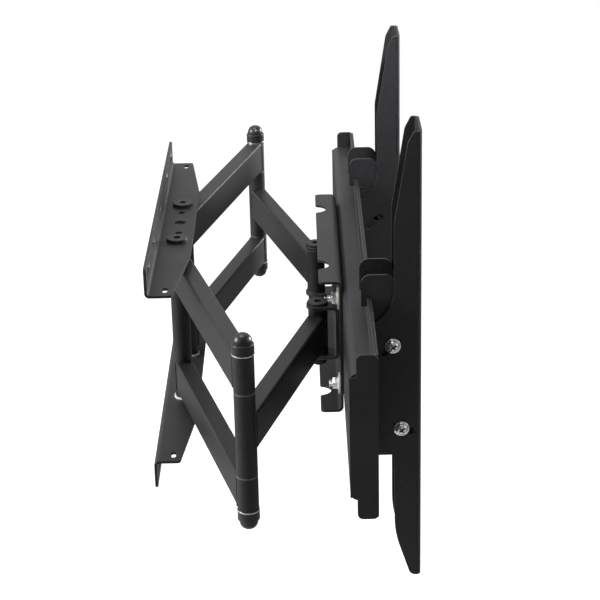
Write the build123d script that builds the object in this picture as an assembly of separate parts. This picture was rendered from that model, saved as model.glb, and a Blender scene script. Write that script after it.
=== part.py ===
from build123d import *
import os
from math import atan2, cos, degrees, hypot, radians, sin

# Full motion wall mount for a television, in millimetres.
# The wall is the plane y = 0, the room and the screen lie towards -Y, and +Z is up.
# The origin is the centre of the wall bolt pattern. Depths are measured from the wall.

# Wall brackets: two folded angles, one above and one below the arms
wall_bracket_length = 455.0
wall_sheet = 3.0
wall_bend_radius = 2.5
wall_flange_height = 30.0
wall_corner_radius = 4.0
shelf_clear_half = 95.5
shelf_end_depth = 28.6
shelf_middle_depth = 42.5
shelf_middle_half = 109.0
shelf_knee_radius = 14.0
lag_slot_spacing = 390.0
lag_slot_length = 34.0
lag_slot_width = 9.0
inner_slot_spacing = 230.0
inner_slot_length = 30.0
lag_slot_rise = 17.5
centre_hole_diameter = 8.0
end_slot_spacing = 425.0
end_slot_length = 13.0
end_slot_width = 5.4
end_slot_depth = 20.6
cable_hole_diameter = 13.5
tie_hole_diameter = 8.5
tie_hole_spacing = 70.0

# Linkage seen from above
wall_pivot_spacing = 122.0
wall_pivot_depth = 24.8
rear_arm_length = 305.0
rest_angle = 15.45
rest_reach = 157.75

# Arm tubes and knuckles
tube_height = 40.0
lower_tube_height = 37.0
tube_width = 20.0
tube_wall = 2.0
tube_corner = 2.5
post_diameter = 21.0
knuckle_diameter = 22.0
bush_bore_wall = 2.5
elbow_half_height = 86.0

# Pivot hardware
pivot_diameter = 10.0
running_clearance = 0.05
axial_clearance = 0.3
hole_clearance = 0.1
open_pivot_clearance = 0.8
bush_length = 18.0
wall_bush_flange_diameter = 24.0
wall_bush_flange = 2.2
elbow_bush_flange = 1.5
head_bush_flange_diameter = 22.0
head_bush_flange = 0.9
disc_head_diameter = 24.0
disc_head_height = 3.2
disc_head_chamfer = 0.7
socket_flats = 7.5
socket_depth = 2.8
pivot_washer_diameter = 25.0
pivot_washer = 1.0
pivot_nut_flats = 17.0
pivot_nut_height = 8.0
pivot_thread_end = 2.0
elbow_washer_diameter = 23.4
elbow_washer = 1.2
cap_collar_diameter = 23.0
cap_collar_height = 10.5
cap_dome_diameter = 19.4
cap_dome_radius = 8.6
cap_height = 21.3
cap_edge_radius = 1.0
cap_grip = 12.0

# Head: a channel with two pivot yokes welded inside it
head_length = 298.0
head_pivot_inset = 54.0
head_half_height = 78.7
head_depth = 25.7
head_sheet = 3.0
head_bend_radius = 4.0
head_corner_radius = 5.0
head_edge_offset = 1.0
access_notch_radius = 14.0
access_notch_blend = 4.0
lug_radius = 13.0
lug_sheet = 4.0
lug_half_height = 32.0
lug_bend_radius = 2.0

# Level adjustment between the head and the panel
level_bolt_inset = 19.0
level_bolt_spacing_z = 103.4
level_bolt_diameter = 8.0
level_slot_clearance = 0.5
level_range = 3.0
level_washer_diameter = 25.0
level_washer = 2.0
level_nut_flats = 13.0
level_nut_height = 6.5
level_thread_end = 4.0
level_head_diameter = 18.0
level_crown_diameter = 10.0
level_head_height = 4.5
face_clearance = 0.3

# Screen panel: a folded tray with hemmed rails above and below
panel_length = 750.0
panel_sheet = 2.5
panel_half_height = 70.0
panel_depth = 28.9
panel_bend_radius = 6.0
rail_rise = 19.5
rail_hem = 4.4
hem_seam = 0.5
hem_seam_depth = 4.0
end_tab_rise = 20.6
end_tab_inset = 7.2
end_tab_radius = 6.0
end_relief = 4.0

# Screen brackets
bracket_spacing = 400.0
bracket_width = 57.2
bracket_sheet = 2.5
bracket_bend_radius = 3.0
bracket_standoff = 52.4
bracket_top = 271.6
bracket_bottom = -243.3
bracket_depth = 29.0
bracket_tip_depth = 8.5
bracket_tip_depth_bottom = 11.5
taper_start_top = 172.0
taper_shoulder_top = 259.0
taper_shoulder_depth_top = 15.0
taper_start_bottom = -189.0
taper_radius = 40.0
taper_radius_bottom = 110.0
shoulder_radius = 10.0
tip_radius = 3.0
tip_radius_bottom = 8.0
belly_depth = 51.5
belly_scoop_radius = 43.6
belly_scoop_top = 100.0
belly_bottom = -100.0
belly_ramp = 52.0
screen_hole_spacing = 400.0
inner_screen_hole_spacing = 200.0
screen_hole_diameter = 8.5

# Tilt: two screws in curved slots about an axis on the bracket's front face
tilt_axis_height = -12.4
tilt_forward = 12.0
tilt_back = 5.0
upper_screw_setback = 30.5
upper_screw_rise = 48.4
lower_screw_setback = 21.5
lower_screw_rise = -49.0
tilt_screw_diameter = 6.0
tilt_slot_clearance = 0.9
tilt_slot_spare = 1.0
tilt_head_diameter = 17.0
tilt_head_height = 5.5
tilt_head_edge = 1.4
tilt_nut_flats = 10.0
tilt_nut_height = 5.0
tilt_thread_end = 1.5
tilt_spacer_diameter = 12.0
cross_recess_width = 2.2
cross_recess_length = 8.5
cross_recess_depth = 2.4

# Hook brackets inside the screen brackets
hook_width = 50.0
hook_sheet = 2.5
ear_top_rise = 26.0
ear_radius = 10.0
ear_front_setback = 31.0
throat_clearance = 0.5
finger_width = 6.5
finger_drop = 9.5
relief_drop = 14.0
relief_height = 1.5
relief_length = 9.0
hook_web_gap = 8.4
hook_front_setback = 9.0
hook_bend_drop = 24.0
hook_foot_setback = 24.0
hook_foot_bottom = -95.0
foot_reach = 9.0
safety_screw_diameter = 6.0
safety_screw_setback = 4.7
safety_screw_engage = 13.5
safety_head_flats = 10.0
safety_head_height = 4.0
corner_radius = 1.5

# Places worked out from the sizes above
wall_pivot_x = wall_pivot_spacing / 2
head_pivot_x = head_length / 2 - head_pivot_inset
head_pivot_depth = wall_pivot_depth + rest_reach
elbow_x = wall_pivot_x + rear_arm_length * cos(radians(rest_angle))
elbow_depth = wall_pivot_depth + rear_arm_length * sin(radians(rest_angle))
forearm_length = hypot(elbow_x - head_pivot_x, head_pivot_depth - elbow_depth)
forearm_angle = degrees(atan2(head_pivot_depth - elbow_depth, elbow_x - head_pivot_x))
shelf_outer = shelf_clear_half + wall_sheet
flange_end = shelf_outer + wall_flange_height
seam_height = elbow_half_height - tube_height
lower_seam_height = elbow_half_height - lower_tube_height
bush_outer = knuckle_diameter - 2 * bush_bore_wall
head_edge = head_pivot_depth + head_edge_offset
head_front = head_edge + head_depth
head_web_back = head_front - head_sheet
lug_inner = lug_half_height - lug_sheet
panel_back = head_front + face_clearance
panel_front = panel_back + panel_depth
rail_top = panel_half_height + rail_rise
rail_back = panel_front - rail_hem
bracket_front = panel_front + bracket_standoff
bracket_x = bracket_spacing / 2
tilt_axis = (bracket_front, tilt_axis_height)
upper_screw = (bracket_front - upper_screw_setback, tilt_axis_height + upper_screw_rise)
lower_screw = (bracket_front - lower_screw_setback, tilt_axis_height + lower_screw_rise)
level_bolt_x = head_length / 2 - level_bolt_inset
level_bolt_z = level_bolt_spacing_z / 2
level_radius = hypot(level_bolt_x, level_bolt_z)
SIDES = (("left", -1), ("right", 1))


def outline(corners):
    """Closed face through (a, b, corner radius) corners."""
    face = Polygon(*[(a, b) for a, b, r in corners], align=None)
    for radius in sorted({r for a, b, r in corners if r > 0}):
        places = [(a, b) for a, b, r in corners if r == radius]
        chosen = [
            v for v in face.vertices()
            if any(hypot(v.X - a, v.Y - b) < 1e-4 for a, b in places)
        ]
        face = fillet(chosen, radius)
    return face


def depth_plate(corners, width):
    """Solid of a depth-height outline, centred across x = 0."""
    face = outline([(-depth, z, r) for depth, z, r in corners])
    return extrude(Plane.YZ * face, amount=width / 2, both=True)


def plan_plate(corners, low, high):
    """Solid of an x-depth outline between two heights."""
    face = outline([(x, -depth, r) for x, depth, r in corners])
    return Pos(0, 0, low) * extrude(face, amount=high - low, dir=(0, 0, 1))


def front_plate(corners, near, far):
    """Solid of an x-height outline between two depths."""
    return Pos(0, -near, 0) * extrude(Plane.XZ * outline(corners), amount=far - near, dir=(0, -1, 0))


def upright(radius, low, high, x=0.0, depth=0.0):
    """Upright cylinder between two heights."""
    return Pos(x, -depth, (low + high) / 2) * Cylinder(radius, high - low)


def ring(outer, inner, low, high, x=0.0, depth=0.0):
    """Upright ring between two heights, sized by its diameters."""
    return upright(outer / 2, low, high, x, depth) - upright(inner / 2, low, high, x, depth)


def hexagon(flats, low, high):
    """Upright hexagonal prism on the Z axis."""
    return Pos(0, 0, low) * extrude(RegularPolygon(flats / 2, 6, major_radius=False), amount=high - low)


def flip(shape):
    """The same shape upside down about the middle height."""
    return mirror(shape, about=Plane.XY)


def to_side(shape, side):
    """A shape modelled on the left, or its mirror image on the right."""
    return shape if side < 0 else mirror(shape, about=Plane.YZ)


def write(name, *shapes):
    """One STEP file for a node of one or more solids."""
    solids = [solid for shape in shapes for solid in shape.solids()]
    export_step(solids[0] if len(solids) == 1 else Compound(solids), f"parts/{name}.step")


def wall_bracket():
    """Upper wall angle: flange on the wall, tapered shelf out over the arms."""
    half = wall_bracket_length / 2
    profile = depth_plate(
        [
            (0, shelf_clear_half, wall_bend_radius + wall_sheet),
            (shelf_middle_depth, shelf_clear_half, 0),
            (shelf_middle_depth, shelf_outer, 0),
            (wall_sheet, shelf_outer, wall_bend_radius),
            (wall_sheet, flange_end, 0),
            (0, flange_end, 0),
        ],
        wall_bracket_length,
    )
    plan = plan_plate(
        [
            (-half, 0, 0),
            (-half, shelf_end_depth, wall_corner_radius),
            (-shelf_middle_half, shelf_middle_depth, shelf_knee_radius),
            (shelf_middle_half, shelf_middle_depth, shelf_knee_radius),
            (half, shelf_end_depth, wall_corner_radius),
            (half, 0, 0),
        ],
        shelf_clear_half,
        flange_end,
    )
    front = front_plate(
        [
            (-half, shelf_clear_half, 0),
            (-half, flange_end, wall_corner_radius),
            (half, flange_end, wall_corner_radius),
            (half, shelf_clear_half, 0),
        ],
        0,
        shelf_middle_depth,
    )
    angle = profile & plan & front
    for side in (-1, 1):
        holes = (
            (side * wall_pivot_x, wall_pivot_depth, pivot_diameter + 2 * hole_clearance),
            (side * tie_hole_spacing / 2, wall_pivot_depth, tie_hole_diameter),
        )
        for x, depth, diameter in holes:
            angle -= upright(diameter / 2, shelf_clear_half, shelf_outer, x, depth)
        end_slot = extrude(SlotOverall(end_slot_length, end_slot_width), amount=wall_sheet)
        angle -= Pos(side * end_slot_spacing / 2, -end_slot_depth, shelf_clear_half) * end_slot
    angle -= upright(cable_hole_diameter / 2, shelf_clear_half, shelf_outer, 0, wall_pivot_depth)
    slot_height = shelf_outer + lag_slot_rise
    for spacing, length in ((lag_slot_spacing, lag_slot_length), (inner_slot_spacing, inner_slot_length)):
        for side in (-1, 1):
            slot = extrude(Plane.XZ * SlotOverall(length, lag_slot_width), amount=wall_sheet)
            angle -= Pos(side * spacing / 2, 0, slot_height) * slot
    centre_hole = extrude(Plane.XZ * Circle(centre_hole_diameter / 2), amount=wall_sheet)
    return angle - Pos(0, 0, slot_height) * centre_hole


def disc_bolt(seat, tip):
    """Upright pivot bolt: flat disc head with a hex socket on a plain shank."""
    top = seat + disc_head_height
    head = upright(disc_head_diameter / 2, seat, top)
    head = chamfer(head.edges().group_by(Axis.Z)[-1], disc_head_chamfer)
    shank = upright(pivot_diameter / 2, tip, seat)
    return head + shank - hexagon(socket_flats, top - socket_depth, top)


def pivot_nut(seat):
    """Hexagon nut below its seat."""
    return hexagon(pivot_nut_flats, seat - pivot_nut_height, seat) - upright(
        pivot_diameter / 2, seat - pivot_nut_height, seat
    )


def flanged_bush(seat, flange_diameter, flange, bore):
    """Nylon bush pressed into the upper end of a knuckle whose end is at the seat height."""
    sleeve = upright(bush_outer / 2, seat - bush_length, seat)
    collar = upright(flange_diameter / 2, seat, seat + flange)
    return sleeve + collar - upright(bore / 2, seat - bush_length, seat + flange)


def arm_tube(length, start_diameter, end_diameter, height):
    """Rectangular tube along +X, coped to an upright knuckle at each end."""
    section = RectangleRounded(tube_width, height, tube_corner)
    inner_width = tube_width - 2 * tube_wall
    inner_height = height - 2 * tube_wall
    hollow = RectangleRounded(inner_width, inner_height, tube_corner - tube_wall)
    tube = extrude(Plane.YZ * (section - hollow), amount=length)
    tube -= upright(start_diameter / 2, -height, height)
    return tube - upright(end_diameter / 2, -height, height, length)


def elbow_cap():
    """Domed push-on cap over the upper end of the elbow pin."""
    seat = elbow_half_height + elbow_washer
    collar = upright(cap_collar_diameter / 2, seat, seat + cap_collar_height)
    collar = fillet(collar.edges().group_by(Axis.Z)[-1], cap_edge_radius)
    dome = upright(cap_dome_diameter / 2, seat, seat + cap_height)
    dome = fillet(dome.edges().group_by(Axis.Z)[-1], cap_dome_radius)
    return collar + dome - upright(pivot_diameter / 2, seat, seat + cap_grip)


def head_channel():
    """Channel open to the wall, with notched flanges and curved level slots."""
    outer_bend = head_bend_radius + head_sheet
    inner_height = head_half_height - head_sheet
    profile = depth_plate(
        [
            (head_edge, head_half_height, 0),
            (head_front, head_half_height, outer_bend),
            (head_front, -head_half_height, outer_bend),
            (head_edge, -head_half_height, 0),
            (head_edge, -inner_height, 0),
            (head_web_back, -inner_height, head_bend_radius),
            (head_web_back, inner_height, head_bend_radius),
            (head_edge, inner_height, 0),
        ],
        head_length,
    )
    half = head_length / 2
    plan = outline(
        [
            (-half, -head_edge, head_corner_radius),
            (half, -head_edge, head_corner_radius),
            (half, -head_front, 0),
            (-half, -head_front, 0),
        ]
    )
    for side in (-1, 1):
        plan -= Pos(side * head_pivot_x, -head_pivot_depth) * Circle(access_notch_radius)
    lips = [
        v for v in plan.vertices()
        if abs(v.Y + head_edge) < 1e-4 and abs(abs(v.X) - head_pivot_x) < access_notch_radius + 1
    ]
    plan = fillet(lips, access_notch_blend)
    channel = profile & extrude(plan, amount=head_half_height, both=True)
    start = degrees(atan2(level_bolt_z, level_bolt_x))
    for middle in (start, 180 - start, 180 + start, 360 - start):
        arc = CenterArc((0, 0), level_radius, middle - level_range, 2 * level_range)
        slot = SlotArc(arc, level_bolt_diameter + 2 * level_slot_clearance)
        channel -= Pos(0, -head_web_back, 0) * extrude(Plane.XZ * slot, amount=head_sheet)
    return channel


def pivot_yoke():
    """Left folded yoke: two round-ended lugs on a web, welded inside the channel."""
    web_back = head_web_back - lug_sheet
    near = head_pivot_depth - lug_radius
    outer_bend = lug_bend_radius + lug_sheet
    profile = depth_plate(
        [
            (near, lug_half_height, 0),
            (head_web_back, lug_half_height, outer_bend),
            (head_web_back, -lug_half_height, outer_bend),
            (near, -lug_half_height, 0),
            (near, -lug_inner, 0),
            (web_back, -lug_inner, lug_bend_radius),
            (web_back, lug_inner, lug_bend_radius),
            (near, lug_inner, 0),
        ],
        2 * lug_radius,
    )
    reach = head_web_back - head_pivot_depth
    plan = Pos(0, -head_pivot_depth) * Circle(lug_radius)
    plan += Pos(0, -head_pivot_depth - reach / 2) * Rectangle(2 * lug_radius, reach)
    yoke = profile & extrude(plan, amount=lug_half_height, both=True)
    bore_radius = pivot_diameter / 2 + hole_clearance
    bore = upright(bore_radius, -lug_half_height, lug_half_height, 0, head_pivot_depth)
    return Pos(-head_pivot_x, 0, 0) * (yoke - bore)


def level_fastener(part):
    """One level bolt, washer or nut, on the Y axis through the middle of the head."""
    washer_front = head_web_back - face_clearance
    washer_back = washer_front - level_washer
    nut_back = washer_back - level_nut_height
    radius = level_bolt_diameter / 2
    if part == "bolt":
        seat = panel_back + panel_sheet
        tail = nut_back - level_thread_end
        crown = Cone(level_crown_diameter / 2, level_head_diameter / 2, level_head_height)
        head = Pos(0, 0, -seat - level_head_height / 2) * crown
        shank = upright(radius, -seat, -tail)
        return Rot(-90, 0, 0) * (head + shank)
    if part == "washer":
        return Rot(-90, 0, 0) * ring(level_washer_diameter, level_bolt_diameter, -washer_front, -washer_back)
    nut = hexagon(level_nut_flats, -washer_back, -nut_back) - upright(radius, -washer_back, -nut_back)
    return Rot(-90, 0, 0) * nut


def folded_tray():
    """Tray in one, open at both ends: web towards the wall, ledges and hemmed rails."""
    inner = panel_half_height - panel_sheet
    web_front = panel_back + panel_sheet
    outer_bend = panel_bend_radius + panel_sheet
    upper = [
        (web_front, inner, panel_bend_radius),
        (panel_front, inner, 0),
        (panel_front, rail_top, 0),
        (rail_back, rail_top, 0),
        (rail_back, panel_half_height, corner_radius),
        (panel_back, panel_half_height, outer_bend),
    ]
    lower = [(depth, -z, r) for depth, z, r in reversed(upper)]
    tray = depth_plate(upper + lower, panel_length - 2 * panel_sheet)
    seam = Pos(0, hem_seam / 2 - (rail_back + panel_front) / 2, rail_top - hem_seam_depth) * Box(
        panel_length, hem_seam, hem_seam_depth, align=(Align.CENTER, Align.MAX, Align.MIN)
    )
    tray -= seam
    tray -= flip(seam)
    hole = extrude(Plane.XZ * Circle(level_bolt_diameter / 2 + hole_clearance), amount=panel_sheet)
    for side in (-1, 1):
        for end in (-1, 1):
            tray -= Pos(side * level_bolt_x, -panel_back, end * level_bolt_z) * hole
    return tray


def rail_side():
    """Room in front of the middle of the tray's upper bend, where rail and web are joined."""
    bend_depth = panel_back + panel_sheet + panel_bend_radius
    bend_z = panel_half_height - panel_sheet - panel_bend_radius
    front = panel_front + panel_sheet
    top = rail_top + panel_sheet
    corners = [(bend_depth, bend_z), (front, bend_z), (front, top), (bend_depth - top + bend_z, top)]
    return depth_plate([(depth, z, 0) for depth, z in corners], panel_length)


def end_plate():
    """Left end plate of the tray, with a stop tab above and below."""
    tab_back = panel_back + end_tab_inset
    tab_top = panel_half_height + end_tab_rise
    end_half = panel_half_height - end_relief
    upper_end = [
        (panel_back, end_half, 0),
        (tab_back, end_half, corner_radius),
        (tab_back, tab_top, end_tab_radius),
        (panel_front, tab_top, end_tab_radius),
    ]
    lower_end = [(depth, -z, r) for depth, z, r in reversed(upper_end)]
    plate = depth_plate(upper_end + lower_end, panel_sheet)
    return Pos((panel_sheet - panel_length) / 2, 0, 0) * plate


def tilt_slot(screw):
    """Curved slot about the tilt axis, long enough for the whole tilt, as a depth-height face."""
    setback = screw[0] - tilt_axis[0]
    rise = screw[1] - tilt_axis[1]
    rest = degrees(atan2(rise, -setback))
    start = rest - tilt_forward - tilt_slot_spare
    arc = CenterArc((0, 0), hypot(setback, rise), start, tilt_forward + tilt_back + 2 * tilt_slot_spare)
    return Pos(-tilt_axis[0], tilt_axis[1]) * SlotArc(arc, tilt_screw_diameter + 2 * tilt_slot_clearance)


def screen_bracket():
    """Screen bracket on x = 0: a channel with tapered ends and a belly towards the wall."""
    back = bracket_front - bracket_depth
    belly = bracket_front - belly_depth
    scoop_centre = back - belly_scoop_radius
    tip = bracket_front - bracket_tip_depth
    walls = depth_plate(
        [
            (bracket_front, bracket_top, 0),
            (tip, bracket_top, tip_radius),
            (bracket_front - taper_shoulder_depth_top, taper_shoulder_top, shoulder_radius),
            (back, taper_start_top, taper_radius),
            (back, belly_scoop_top, 0),
            (belly, belly_scoop_top, 0),
            (belly, belly_bottom + belly_ramp, 0),
            (back, belly_bottom, corner_radius),
            (back, taper_start_bottom, taper_radius_bottom),
            (bracket_front - bracket_tip_depth_bottom, bracket_bottom, tip_radius_bottom),
            (bracket_front, bracket_bottom, 0),
        ],
        bracket_width,
    )
    scoop_face = Plane.YZ * (Pos(-scoop_centre, belly_scoop_top) * Circle(belly_scoop_radius))
    walls -= extrude(scoop_face, amount=bracket_width / 2, both=True)
    front_edges = walls.edges().filter_by(Axis.Z).group_by(Axis.Y)[0]
    walls = fillet(front_edges, bracket_bend_radius + bracket_sheet)
    web_back = bracket_front - bracket_sheet
    height = bracket_top - bracket_bottom
    inside = Pos(0, -web_back, bracket_bottom) * Box(
        bracket_width - 2 * bracket_sheet, belly_depth, height, align=(Align.CENTER, Align.MIN, Align.MIN)
    )
    inside = fillet(inside.edges().filter_by(Axis.Z).group_by(Axis.Y)[0], bracket_bend_radius)
    channel = walls - inside
    for screw in (upper_screw, lower_screw):
        channel -= extrude(Plane.YZ * tilt_slot(screw), amount=bracket_width / 2, both=True)
    middle = (bracket_top + bracket_bottom) / 2
    for spacing in (screen_hole_spacing, inner_screen_hole_spacing):
        for end in (-1, 1):
            hole = extrude(Plane.XZ * Circle(screen_hole_diameter / 2), amount=bracket_sheet)
            channel -= Pos(0, -web_back, middle + end * spacing / 2) * hole
    return channel


def hook_bracket():
    """Hook bracket on x = 0: two eared side plates, a web and a foot under the lower rail."""
    finger_front = rail_back - throat_clearance
    finger_back = finger_front - finger_width
    throat_front = panel_front + throat_clearance
    web_back = panel_front + hook_web_gap
    ear_top = rail_top + ear_top_rise
    finger_tip = rail_top - finger_drop
    relief_top = rail_top - relief_drop
    foot_front = bracket_front - hook_foot_setback
    plate_front = bracket_front - hook_front_setback
    plates = depth_plate(
        [
            (finger_back, finger_tip, corner_radius),
            (finger_back, ear_top, ear_radius),
            (bracket_front - ear_front_setback, ear_top, ear_radius),
            (plate_front, upper_screw[1], ear_radius),
            (plate_front, tilt_axis_height - hook_bend_drop, ear_radius),
            (foot_front, hook_foot_bottom, corner_radius),
            (throat_front, hook_foot_bottom, corner_radius),
            (throat_front, relief_top - relief_height, 0),
            (throat_front + relief_length, relief_top - relief_height, 0),
            (throat_front + relief_length, relief_top, 0),
            (throat_front, relief_top, 0),
            (throat_front, rail_top + face_clearance, 0),
            (finger_front, rail_top + face_clearance, 0),
            (finger_front, finger_tip, corner_radius),
        ],
        hook_width,
    )
    inner_width = hook_width - 2 * hook_sheet
    plates -= depth_plate(
        [
            (finger_back, hook_foot_bottom, 0),
            (finger_back, ear_top, 0),
            (bracket_front, ear_top, 0),
            (bracket_front, hook_foot_bottom, 0),
        ],
        inner_width,
    )
    web = depth_plate(
        [
            (web_back, -panel_half_height, 0),
            (web_back, panel_half_height, 0),
            (web_back + hook_sheet, panel_half_height, 0),
            (web_back + hook_sheet, -panel_half_height, 0),
        ],
        inner_width,
    )
    foot = depth_plate(
        [
            (rail_back - foot_reach, hook_foot_bottom, 0),
            (rail_back - foot_reach, hook_foot_bottom + hook_sheet, 0),
            (foot_front, hook_foot_bottom + hook_sheet, 0),
            (foot_front, hook_foot_bottom, 0),
        ],
        inner_width,
    )
    hook = plates + web + foot
    for screw in (upper_screw, lower_screw):
        hole = extrude(Plane.YZ * Circle(tilt_screw_diameter / 2), amount=hook_width / 2, both=True)
        hook -= Pos(0, -screw[0], screw[1]) * hole
    return hook - upright(
        safety_screw_diameter / 2,
        hook_foot_bottom,
        hook_foot_bottom + hook_sheet,
        0,
        rail_back - safety_screw_setback,
    )


def tilt_fastener(part):
    """One tilt screw, spacer or nut, along X on the left side of a bracket on x = 0."""
    head_seat = bracket_width / 2 + face_clearance
    plate_outer = hook_width / 2
    plate_inner = plate_outer - hook_sheet
    nut_end = plate_inner - tilt_nut_height
    radius = tilt_screw_diameter / 2
    if part == "screw":
        head = upright(tilt_head_diameter / 2, head_seat, head_seat + tilt_head_edge)
        crown_rise = tilt_head_height - tilt_head_edge
        half = tilt_head_diameter / 2
        sphere_radius = (half**2 + crown_rise**2) / (2 * crown_rise)
        ball = Pos(0, 0, head_seat + tilt_head_height - sphere_radius) * Sphere(sphere_radius)
        head += ball & upright(half, head_seat, head_seat + tilt_head_height)
        recess_low = head_seat + tilt_head_height - cross_recess_depth
        for turn in (0, 90):
            head -= Pos(0, 0, recess_low) * Rot(0, 0, turn) * Box(
                cross_recess_length,
                cross_recess_width,
                tilt_head_height,
                align=(Align.CENTER, Align.CENTER, Align.MIN),
            )
        shape = head + upright(radius, nut_end - tilt_thread_end, head_seat)
    elif part == "spacer":
        wall_inner = bracket_width / 2 - bracket_sheet
        shape = ring(tilt_spacer_diameter, tilt_screw_diameter, plate_outer, wall_inner - face_clearance)
    else:
        shape = hexagon(tilt_nut_flats, nut_end, plate_inner) - upright(radius, nut_end, plate_inner)
    return Rot(0, -90, 0) * shape


def safety_screw():
    """Locking screw through the hook bracket's foot, standing behind the lower rail, on x = 0."""
    head = hexagon(safety_head_flats, hook_foot_bottom - safety_head_height, hook_foot_bottom)
    tip = hook_foot_bottom + hook_sheet + safety_screw_engage
    shank = upright(safety_screw_diameter / 2, hook_foot_bottom, tip)
    return Pos(0, safety_screw_setback - rail_back, 0) * (head + shank)


os.makedirs("parts", exist_ok=True)

# Wall brackets and the hardware of the wall pivots
upper_bracket = wall_bracket()
write("wall_bracket_top", upper_bracket)
write("wall_bracket_bottom", flip(upper_bracket))
bolt_seat = shelf_outer + pivot_washer
nut_seat = -bolt_seat
wall_bolt = disc_bolt(bolt_seat, nut_seat - pivot_nut_height - pivot_thread_end)
wall_places = [Pos(side * wall_pivot_x, -wall_pivot_depth, 0) for name, side in SIDES]
for (name, side), place in zip(SIDES, wall_places):
    write(f"{name}_wall_bolt", place * wall_bolt)
write("wall_nuts", *[place * pivot_nut(nut_seat) for place in wall_places])
upper_washer = ring(pivot_washer_diameter, pivot_diameter, shelf_outer, bolt_seat)
write("wall_washers", *[place * w for place in wall_places for w in (upper_washer, flip(upper_washer))])

# Rear arms: post, two tubes and the outer elbow knuckles, with the elbow pin and its caps
post_half = shelf_clear_half - axial_clearance - wall_bush_flange
running_bore = pivot_diameter + 2 * running_clearance
tube_middle = elbow_half_height - tube_height / 2
lower_tube_middle = lower_tube_height / 2 - elbow_half_height
washer_outer = elbow_half_height + elbow_washer
wall_bush = flanged_bush(post_half, wall_bush_flange_diameter, wall_bush_flange, running_bore)
rear_ends = (rear_arm_length, post_diameter, knuckle_diameter)
upper_tube = Pos(0, 0, tube_middle) * arm_tube(*rear_ends, tube_height)
lower_tube = Pos(0, 0, lower_tube_middle) * arm_tube(*rear_ends, lower_tube_height)
elbow = Pos(rear_arm_length, 0, 0)
upper_knuckle = elbow * ring(knuckle_diameter, pivot_diameter, seam_height, elbow_half_height)
lower_knuckle = elbow * ring(knuckle_diameter, pivot_diameter, -elbow_half_height, -lower_seam_height)
upper_elbow_washer = elbow * ring(elbow_washer_diameter, pivot_diameter, elbow_half_height, washer_outer)
upper_cap = elbow * elbow_cap()
elbow_pin = elbow * upright(pivot_diameter / 2, -washer_outer - cap_grip, washer_outer + cap_grip)
rear_pieces = {
    "wall_post": [ring(post_diameter, bush_outer, -post_half, post_half)],
    "wall_bushes": [wall_bush, flip(wall_bush)],
    "upper_tube": [upper_tube],
    "lower_tube": [lower_tube],
    "elbow_knuckles": [upper_knuckle, lower_knuckle],
    "elbow_pin": [elbow_pin],
    "elbow_washers": [upper_elbow_washer, flip(upper_elbow_washer)],
    "elbow_caps": [upper_cap, flip(upper_cap)],
}
rear_place = Pos(-wall_pivot_x, -wall_pivot_depth, 0) * Rot(0, 0, 180 + rest_angle)
for name, side in SIDES:
    for piece, shapes in rear_pieces.items():
        write(f"{name}_{piece}", *[to_side(rear_place * shape, side) for shape in shapes])

# Forearms: one tube between the elbow and the head, with a bushed knuckle at each end
elbow_knuckle_top = seam_height - axial_clearance - elbow_bush_flange
elbow_knuckle_drop = lower_seam_height - axial_clearance - elbow_bush_flange
head_knuckle_half = lug_inner - axial_clearance - head_bush_flange
upper_elbow_bush = flanged_bush(elbow_knuckle_top, knuckle_diameter, elbow_bush_flange, running_bore)
lower_elbow_bush = flip(flanged_bush(elbow_knuckle_drop, knuckle_diameter, elbow_bush_flange, running_bore))
head_end = Pos(forearm_length, 0, 0)
forearm_place = Pos(-elbow_x, -elbow_depth, 0) * Rot(0, 0, -forearm_angle)
head_bores = {"left": running_bore, "right": pivot_diameter + 2 * open_pivot_clearance}
for name, side in SIDES:
    head_bush = head_end * flanged_bush(
        head_knuckle_half, head_bush_flange_diameter, head_bush_flange, head_bores[name]
    )
    elbow_knuckle = ring(knuckle_diameter, bush_outer, -elbow_knuckle_drop, elbow_knuckle_top)
    head_knuckle = head_end * ring(knuckle_diameter, bush_outer, -head_knuckle_half, head_knuckle_half)
    forearm_pieces = {
        "forearm_tube": [arm_tube(forearm_length, knuckle_diameter, knuckle_diameter, tube_height)],
        "forearm_elbow_knuckle": [elbow_knuckle],
        "elbow_bushes": [upper_elbow_bush, lower_elbow_bush],
        "head_knuckle": [head_knuckle],
        "head_bushes": [head_bush, flip(head_bush)],
    }
    for piece, shapes in forearm_pieces.items():
        write(f"{name}_{piece}", *[to_side(forearm_place * shape, side) for shape in shapes])

# Head channel, its two yokes and the head pivots
write("head_channel", head_channel())
head_bolt = disc_bolt(lug_half_height, -lug_half_height - pivot_nut_height - pivot_thread_end)
head_places = [Pos(side * head_pivot_x, -head_pivot_depth, 0) for name, side in SIDES]
for (name, side), place in zip(SIDES, head_places):
    write(f"{name}_pivot_yoke", to_side(pivot_yoke(), side))
    write(f"{name}_head_bolt", place * head_bolt)
write("head_nuts", *[place * pivot_nut(-lug_half_height) for place in head_places])

# Screen panel and the four level bolts that clamp it to the head
tray = folded_tray()
rail_room = rail_side()
upper_rail = tray & rail_room
write("screen_panel", tray - rail_room - flip(rail_room))
write("upper_rail", upper_rail)
write("lower_rail", flip(upper_rail))
for name, side in SIDES:
    write(f"{name}_end_plate", to_side(end_plate(), side))
level_places = [
    Pos(i * level_bolt_x, 0, j * level_bolt_z) for i in (-1, 1) for j in (-1, 1)
]
for part in ("bolt", "washer", "nut"):
    write(f"level_{part}s", *[place * level_fastener(part) for place in level_places])

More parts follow.
